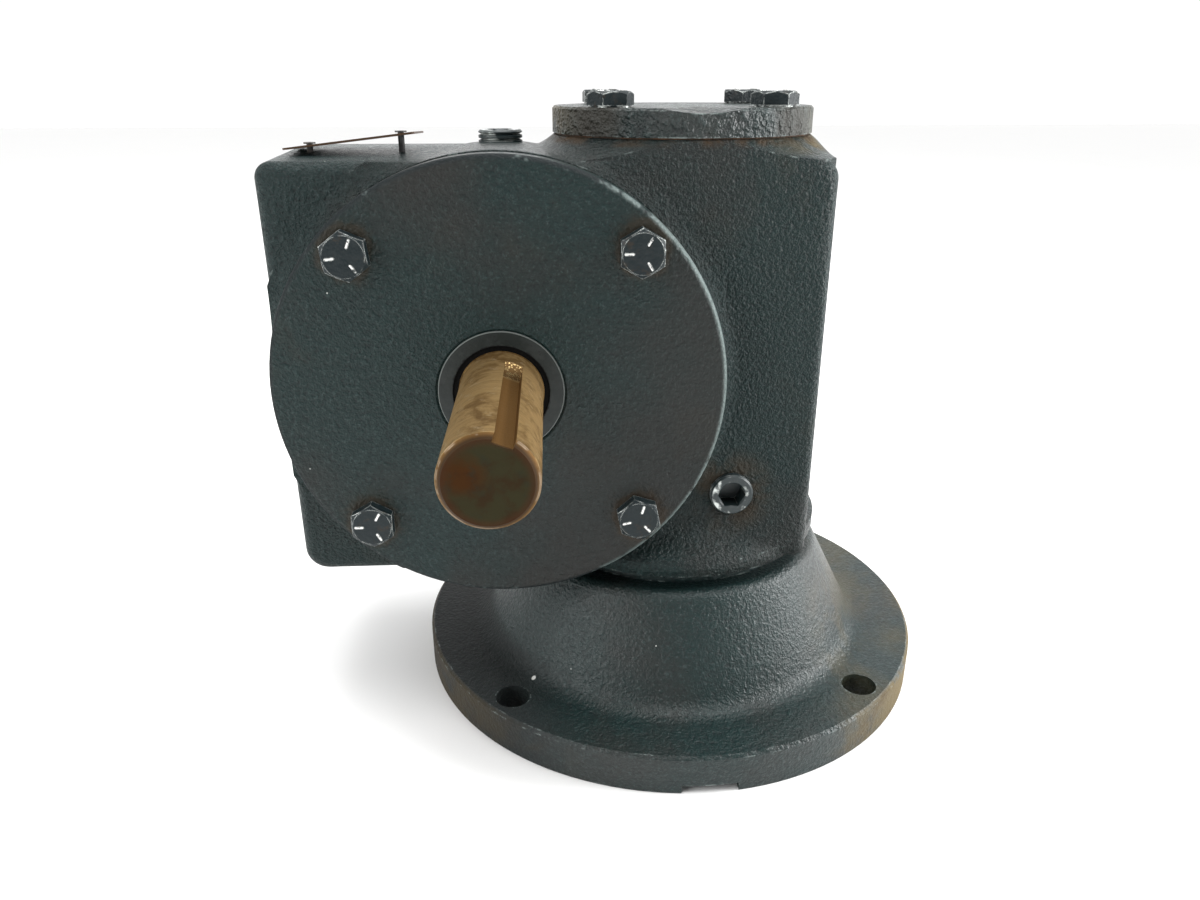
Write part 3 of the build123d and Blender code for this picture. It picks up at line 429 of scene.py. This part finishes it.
def plug_paint(name, centre, keep):
    """Dark plug with its face rubbed bright round the socket."""
    graph = Graph(name, (0.010, 0.020, 0.022), 0.4)
    graph.layer(graph.ramp(graph.noise(500, 3, 0.6), 0.45, 0.7), (0.020, 0.028, 0.028), 0.5)
    ring = graph.distance(centre, keep)
    face = graph.ramp(ring, PLUG_SOCKET_RADIUS, PLUG_SOCKET_RADIUS + 0.0005)
    band = graph.times(face, graph.ramp(ring, PLUG_FACE_RADIUS, PLUG_FACE_RADIUS - 0.0005))
    worn = graph.ramp(graph.noise(260, 3, 0.6, seed=3.0), 0.46, 0.60)
    graph.layer(graph.times(band, worn), BRIGHT, 0.3, 0.9)
    graph.layer(graph.times(graph.edges(0.0004), worn), BRIGHT, 0.3, 0.9)
    graph.relief(graph.noise(800, 2, 0.6), 0.0001)
    return graph.finish()


dress("drain_plug", plug_paint("drain_plug_paint", (drain_low + drain_high) / 2, ROUND_OUTPUT))
dress("fill_plug", plug_paint("fill_plug_paint", (fill_low + fill_high) / 2, ROUND_WORM))

# ---------------------------------------------------------------- output shaft and seal

TIP = shaft_low.y
CHAMFER = 0.0013
SHAFT_RADIUS = 0.01111
SLOT_FADE = (-0.0500, -0.0545)
RUN_OUT_FADE = (-0.0625, -0.0605)
LIP_FADE = (0.0126, 0.0119)


def shaft_steel():
    """Tan film over turned steel, a stained end face, a worn chamfer and a bright cutter run-out."""
    shaft = Graph("output_shaft_steel", (0.25, 0.165, 0.070), 0.46, 0.55)
    rings = shaft.noise(1.0, 3, 0.6, vector=shaft.stretched(90, 2600, 90), seed=1.0)
    shaft.layer(shaft.times(shaft.ramp(rings, 0.42, 0.65), 0.6), (0.15, 0.092, 0.036), 0.5)
    film = shaft.noise(120, 4, 0.65, 0.4, seed=2.0)
    shaft.layer(shaft.times(shaft.ramp(film, 0.44, 0.62), 0.8), (0.060, 0.031, 0.009), 0.58, 0.3)
    rubs = shaft.noise(330, 4, 0.7, 0.3, seed=5.0)
    shaft.layer(shaft.times(shaft.ramp(rubs, 0.54, 0.68), 0.7), (0.30, 0.22, 0.12), 0.36, 0.7)
    radius = shaft.distance(OUTPUT_AXIS, ROUND_OUTPUT)
    along = shaft.axes()[1]

    at_tip = shaft.ramp(along, TIP + 0.0002, TIP + 0.0001)
    shaft.layer(at_tip, (0.025, 0.022, 0.009), 0.5, 0.25)
    from_patch = shaft.distance(OUTPUT_AXIS + Vector((-0.0055, 0, 0.002)), ROUND_OUTPUT)
    spread = shaft.math("SUBTRACT", from_patch, shaft.times(film, 0.009))
    orange = shaft.times(at_tip, shaft.ramp(spread, 0.0025, -0.0025))
    shaft.layer(shaft.times(orange, 0.85), (0.042, 0.013, 0.001), 0.7, 0.1)
    blotch = shaft.ramp(shaft.noise(190, 4, 0.65, 0.2, seed=8.0), 0.46, 0.66)
    shaft.layer(shaft.times(at_tip, shaft.times(blotch, 0.6)), (0.026, 0.010, 0.003), 0.65, 0.2)
    damp = shaft.ramp(shaft.noise(260, 4, 0.65, 0.2, seed=18.0), 0.50, 0.66)
    shaft.layer(shaft.times(at_tip, shaft.times(damp, 0.5)), (0.018, 0.020, 0.012), 0.55, 0.2)
    near_rim = shaft.times(at_tip, shaft.ramp(radius, 0.0078, 0.0098))
    shaft.layer(shaft.times(near_rim, 0.6), (0.045, 0.016, 0.006), 0.6, 0.2)

    chamfer_end = shaft.ramp(along, TIP + CHAMFER, TIP + 0.8 * CHAMFER)
    chamfer = shaft.times(chamfer_end, shaft.ramp(along, TIP, TIP + 0.0002))
    shaft.layer(chamfer, (0.035, 0.019, 0.008), 0.55, 0.2)
    outer_half = shaft.ramp(along, TIP + 0.55 * CHAMFER, TIP + 0.75 * CHAMFER)
    worn_rim = shaft.times(outer_half, shaft.ramp(shaft.noise(190, 3, 0.6, seed=14.0), 0.48, 0.58))
    shaft.layer(shaft.times(chamfer, worn_rim), (0.46, 0.43, 0.36), 0.30, 1.0)

    below_skin = shaft.ramp(radius, SHAFT_RADIUS - 0.00008, SHAFT_RADIUS - 0.0002)
    slot = shaft.times(below_skin, shaft.ramp(along, *SLOT_FADE))
    slot = shaft.times(slot, shaft.ramp(along, TIP + 0.0002, TIP + CHAMFER))
    shaft.layer(slot, (0.125, 0.066, 0.021), 0.48, 0.4)
    run_out = shaft.times(slot, shaft.ramp(along, *RUN_OUT_FADE))
    sparkle = shaft.ramp(shaft.cells(1500), 0.30, 0.50)
    shaft.layer(shaft.times(run_out, 0.9), (0.60, 0.43, 0.20), 0.25, 1.0)
    shaft.layer(shaft.times(run_out, sparkle), (0.13, 0.075, 0.03), 0.5, 0.8)
    shaft.relief(rings, 0.00004)
    shaft.relief(film, 0.00012)
    shaft.relief(rubs, 0.00006)
    return shaft.finish(Specular_IOR_Level=0.08)


def seal_case():
    """Dark ring with a bright outer line and a ragged black inner edge."""
    low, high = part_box("output_seal_case")
    outer = (high.x - low.x) / 2
    seal = Graph("seal_case_paint", (0.005, 0.009, 0.008), 0.42)
    seal.layer(seal.ramp(seal.noise(300, 3, 0.6), 0.45, 0.7), (0.013, 0.017, 0.016), 0.5)
    specks = seal.ramp(seal.noise(700, 3, 0.7, seed=3.0), 0.60, 0.68)
    seal.layer(seal.times(specks, 0.7), (0.004, 0.004, 0.004), 0.7)
    ring = seal.distance(OUTPUT_AXIS, ROUND_OUTPUT)
    ragged = seal.math("MULTIPLY_ADD", seal.noise(420, 4, 0.75, seed=5.0), -0.0016, ring)
    seal.layer(seal.ramp(ragged, *LIP_FADE), (0.001, 0.001, 0.001), 0.9)
    inside = seal.ramp(ring, outer - 0.00002, outer - 0.00008)
    line = seal.times(seal.ramp(ring, outer - 0.0004, outer - 0.0003), inside)
    seal.layer(seal.times(line, 0.85), (0.20, 0.22, 0.21), 0.4, 0.3)
    seal.relief(seal.noise(700, 3, 0.6), 0.0001)
    return seal.finish(Specular_IOR_Level=0.36)


def rubber():
    graph = Graph("seal_rubber", (0.001, 0.001, 0.001), 0.8)
    graph.layer(graph.ramp(graph.noise(600, 4, 0.7), 0.5, 0.7), (0.005, 0.004, 0.003), 0.85)
    graph.relief(graph.noise(900, 3, 0.7), 0.0002)
    return graph.finish(Specular_IOR_Level=0.12)


dress("output_shaft", shaft_steel())
case_paint = seal_case()
lip_rubber = rubber()
for side in ("output", "input"):
    dress(side + "_seal_case", case_paint)
    dress(side + "_seal_lip", lip_rubber)

# ---------------------------------------------------------------- nameplate and joints

plate = Graph("nameplate_metal", (0.22, 0.18, 0.13), 0.40, 0.85)
plate.layer(plate.ramp(plate.noise(90, 4, 0.6), 0.45, 0.7), (0.11, 0.08, 0.05), 0.5, 0.6)
on_edge = plate.math("LESS_THAN", plate.math("ABSOLUTE", plate.upward()), 0.5)
plate.layer(on_edge, (0.07, 0.038, 0.020), 0.5, 0.5)
plate.relief(plate.noise(500, 3, 0.6), 0.00005)
dress("nameplate", plate.finish())

paper = Graph("joint_paper", (0.055, 0.035, 0.022), 0.85)
paper.layer(paper.ramp(paper.noise(300, 4, 0.7), 0.45, 0.65), (0.12, 0.06, 0.03), 0.9)
paper.relief(paper.noise(900, 3, 0.6), 0.0001)
gasket = paper.finish()
for name in ("output_cover_gasket", "top_cover_gasket", "flange_gasket"):
    dress(name, gasket)

cap = cast_paint("cap_paint", pebble=0.25, seed=20.0)
worn_edges(cap, 0.0005, 0.5)
dress("rear_bore_cap", cap.finish())

# ---------------------------------------------------------------- inner pieces

bright_steel = steel("ground_steel").finish()
ring_steel = steel("bearing_steel", (0.62, 0.62, 0.61), 0.22, stain=0.12, seed=3.0).finish()
ball_steel = steel("ball_steel", (0.7, 0.7, 0.7), 0.08, stain=0.05, seed=4.0).finish()
cage_steel = steel("cage_steel", (0.48, 0.46, 0.42), 0.35, stain=0.3, seed=5.0).finish()
black_steel = steel("black_steel", (0.09, 0.09, 0.09), 0.4, stain=0.4, seed=6.0).finish()
bronze = steel("gear_bronze", (0.62, 0.40, 0.16), 0.3, stain=0.3, seed=7.0).finish()
iron = steel("machined_iron", (0.28, 0.28, 0.28), 0.45, stain=0.4, seed=8.0).finish()
dress("worm_shaft", bright_steel)
dress("wheel_key", bright_steel)
dress("output_spacer", bright_steel)
dress("nameplate_pins", black_steel)
dress("worm_wheel_rim", bronze)
dress("worm_wheel_hub", iron)
for name in ("flange_bolts", "output_shaft_ring", "worm_shaft_ring", "rear_bearing_ring"):
    dress(name, black_steel)
for bearing in ("front_bearing", "rear_bearing", "lower_worm_bearing", "upper_worm_bearing"):
    dress(bearing + "_outer_ring", ring_steel)
    dress(bearing + "_inner_ring", ring_steel)
    dress(bearing + "_balls", ball_steel)
    dress(bearing + "_cage", cage_steel)

# ---------------------------------------------------------------- floor, light and camera

bpy.ops.mesh.primitive_plane_add(size=8.0, location=(0, 0, flange_low.z - 0.0002))
floor = bpy.context.object
floor.name = "floor"
sheet = Graph("floor_paper", (0.93, 0.93, 0.925), 0.6)
sheet.layer(sheet.times(sheet.ramp(sheet.noise(9, 4, 0.6), 0.5, 0.8), 0.3), (0.88, 0.88, 0.87), 0.6)
floor.data.materials.append(sheet.finish())

world = bpy.data.worlds.new("studio")
scene.world = world
world.use_nodes = True
world.node_tree.nodes["Background"].inputs[0].default_value = (1.0, 1.0, 1.0, 1.0)
world.node_tree.nodes["Background"].inputs[1].default_value = 1.04


def soft_box(name, place, target, width, height, power, tint=(1, 1, 1)):
    light = bpy.data.lights.new(name, "AREA")
    light.shape = "RECTANGLE"
    light.size = width
    light.size_y = height
    light.energy = power
    light.color = tint
    lamp = bpy.data.objects.new(name, light)
    scene.collection.objects.link(lamp)
    lamp.location = place
    lamp.rotation_euler = (Vector(target) - Vector(place)).to_track_quat("-Z", "Y").to_euler()


MIDDLE = (-0.03, 0.0, 0.09)
soft_box("light_above", (0.05, 0.02, 1.25), MIDDLE, 1.3, 0.7, 14)
soft_box("light_back", (0.0, 1.4, 0.35), MIDDLE, 1.6, 0.3, 3)
soft_box("light_right", (1.0, -0.03, 0.40), MIDDLE, 0.50, 0.42, 15)
soft_box("light_left", (-0.85, -0.50, 0.48), MIDDLE, 0.40, 0.34, 4.5)

# Dark card over the front, as a photographer standing behind the camera would be
bpy.ops.mesh.primitive_plane_add(size=1.0, location=(0, -1.45, 1.05), rotation=(math.radians(60), 0, 0))
card = bpy.context.object
card.name = "dark_card"
card.visible_camera = False
card.scale = (2.6, 1.3, 1.0)
black = bpy.data.materials.new("black_card")
black.use_nodes = True
black.node_tree.nodes["Principled BSDF"].inputs["Base Color"].default_value = (0.01, 0.01, 0.01, 1.0)
black.node_tree.nodes["Principled BSDF"].inputs["Roughness"].default_value = 0.9
card.data.materials.append(black)

# Camera: 27 mm lens on a 36 mm sensor, 22 degrees down, 3 degrees right of the output axis
YAW, PITCH, ROLL = (math.radians(angle) for angle in (3.022, 22.192, -0.065))
forward = Vector((math.sin(YAW) * math.cos(PITCH), math.cos(YAW) * math.cos(PITCH), -math.sin(PITCH)))
level = Vector((math.cos(YAW), -math.sin(YAW), 0))
upright = level.cross(forward)
right = level * math.cos(ROLL) + upright * math.sin(ROLL)
up = upright * math.cos(ROLL) - level * math.sin(ROLL)
camera = bpy.data.cameras.new("camera")
camera.lens = 27.06
camera.sensor_width = 36.0
view = bpy.data.objects.new("camera", camera)
scene.collection.objects.link(view)
turn = Matrix((right, up, -forward)).transposed().to_4x4()
view.matrix_world = Matrix.Translation((-0.03829, -0.27681, 0.18284)) @ turn
scene.camera = view
scene.view_settings.view_transform = "Standard"
